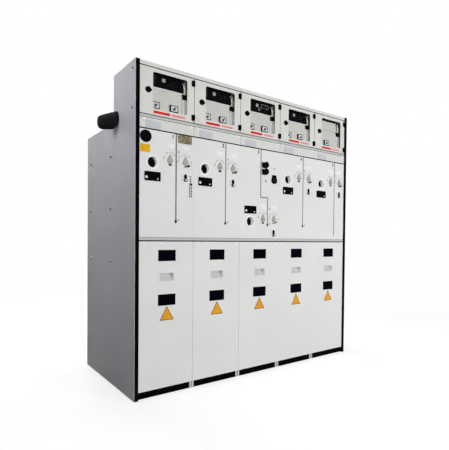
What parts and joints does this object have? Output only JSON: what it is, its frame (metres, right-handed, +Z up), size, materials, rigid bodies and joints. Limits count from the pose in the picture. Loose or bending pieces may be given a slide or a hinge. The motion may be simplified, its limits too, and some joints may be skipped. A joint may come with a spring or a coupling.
{
  "type": "gas insulated ring main unit switchgear",
  "caption": "Floor standing gas insulated medium-voltage switchgear cabinet with hinged low-voltage doors over operating panels and cable covers.",
  "frame": {"origin": "on the floor at the middle of the overall box", "axes": "+Z up, the operating front faces -Y, +X to the right as seen from the front"},
  "size_m": [1.871, 0.786, 1.74],
  "materials": {
    "grey_paint": "satin",
    "black_paint": "satin",
    "plinth": "matte",
    "stainless": "satin",
    "black_plastic": "satin",
    "pale_plastic": "satin",
    "dark_glass": "gloss",
    "clear_glass": "gloss",
    "rubber": "matte"
  },
  "bodies": {
    "cabinet": {"base_rail_front": "plinth", "base_rail_rear": "plinth", "kick_plates": "plinth", "floor_plates": "grey_paint", "bay_walls": "grey_paint", "side_panel_left": "grey_paint", "side_panel_right": "grey_paint", "front_trim_left": "black_paint", "front_trim_right": "black_paint", "rear_covers": "grey_paint", "top_cover": "grey_paint", "gas_tank": "stainless", "mid_rail": "grey_paint", "operating_panel_1": "grey_paint", "operating_panel_2": "grey_paint", "operating_panel_3": "grey_paint", "operating_panel_4": "grey_paint", "operating_panel_5": "grey_paint", "duct_covers": "grey_paint", "lv_sill": "grey_paint", "lv_roof": "grey_paint", "lv_rear_wall": "grey_paint", "lv_dividers": "grey_paint", "lv_mounting_plates": "grey_paint", "lv_instruments": "black_plastic", "hinge_brackets": "black_plastic", "cable_cover_1": "grey_paint", "cable_cover_2": "grey_paint", "cable_cover_3": "grey_paint", "cable_cover_4": "grey_paint", "cable_cover_5": "grey_paint", "cover_windows": "dark_glass", "grip_cups": "pale_plastic", "sight_wells": "pale_plastic", "voltage_indicators": "black_plastic", "shaft_covers": "stainless", "key_locks": "black_plastic", "breaker_controls": "black_plastic", "pressure_gauge": "black_plastic", "end_cap_left": "rubber", "end_cap_right": "rubber"},
    "lv_door_1": {"lv_door_1": "grey_paint", "lv_window_1": "clear_glass", "lv_door_fittings_1": "black_plastic"},
    "lv_door_2": {"lv_door_2": "grey_paint", "lv_window_2": "clear_glass", "lv_door_fittings_2": "black_plastic"},
    "lv_door_3": {"lv_door_3": "grey_paint", "lv_window_3": "clear_glass", "lv_door_fittings_3": "black_plastic"},
    "lv_door_4": {"lv_door_4": "grey_paint", "lv_window_4": "clear_glass", "lv_door_fittings_4": "black_plastic"},
    "lv_door_5": {"lv_door_5": "grey_paint", "lv_window_5": "clear_glass", "lv_door_fittings_5": "black_plastic"},
    "close_button": {"close_button": "black_plastic"},
    "open_button": {"open_button": "black_plastic"}
  },
  "joints": [
    {"name": "lv_door_1_hinge", "type": "hinge", "parent": "cabinet", "child": "lv_door_1", "pos_m": [-0.4925, -0.375, 1.59425], "axis": [0, 0, 1], "range_deg": [0, 90]},
    {"name": "lv_door_2_hinge", "type": "hinge", "parent": "cabinet", "child": "lv_door_2", "pos_m": [-0.1675, -0.375, 1.59425], "axis": [0, 0, 1], "range_deg": [0, 90]},
    {"name": "lv_door_3_hinge", "type": "hinge", "parent": "cabinet", "child": "lv_door_3", "pos_m": [0.1575, -0.375, 1.59425], "axis": [0, 0, 1], "range_deg": [0, 90]},
    {"name": "lv_door_4_hinge", "type": "hinge", "parent": "cabinet", "child": "lv_door_4", "pos_m": [0.4825, -0.375, 1.59425], "axis": [0, 0, 1], "range_deg": [0, 90]},
    {"name": "lv_door_5_hinge", "type": "hinge", "parent": "cabinet", "child": "lv_door_5", "pos_m": [0.8075, -0.375, 1.59425], "axis": [0, 0, 1], "range_deg": [0, 90]},
    {"name": "close_button_press", "type": "slide", "parent": "cabinet", "child": "close_button", "axis": [0, 1, 0], "range_m": [0, 0.006], "stiffness_N_per_m": 400},
    {"name": "open_button_press", "type": "slide", "parent": "cabinet", "child": "open_button", "axis": [0, 1, 0], "range_m": [0, 0.006], "stiffness_N_per_m": 400}
  ]
}
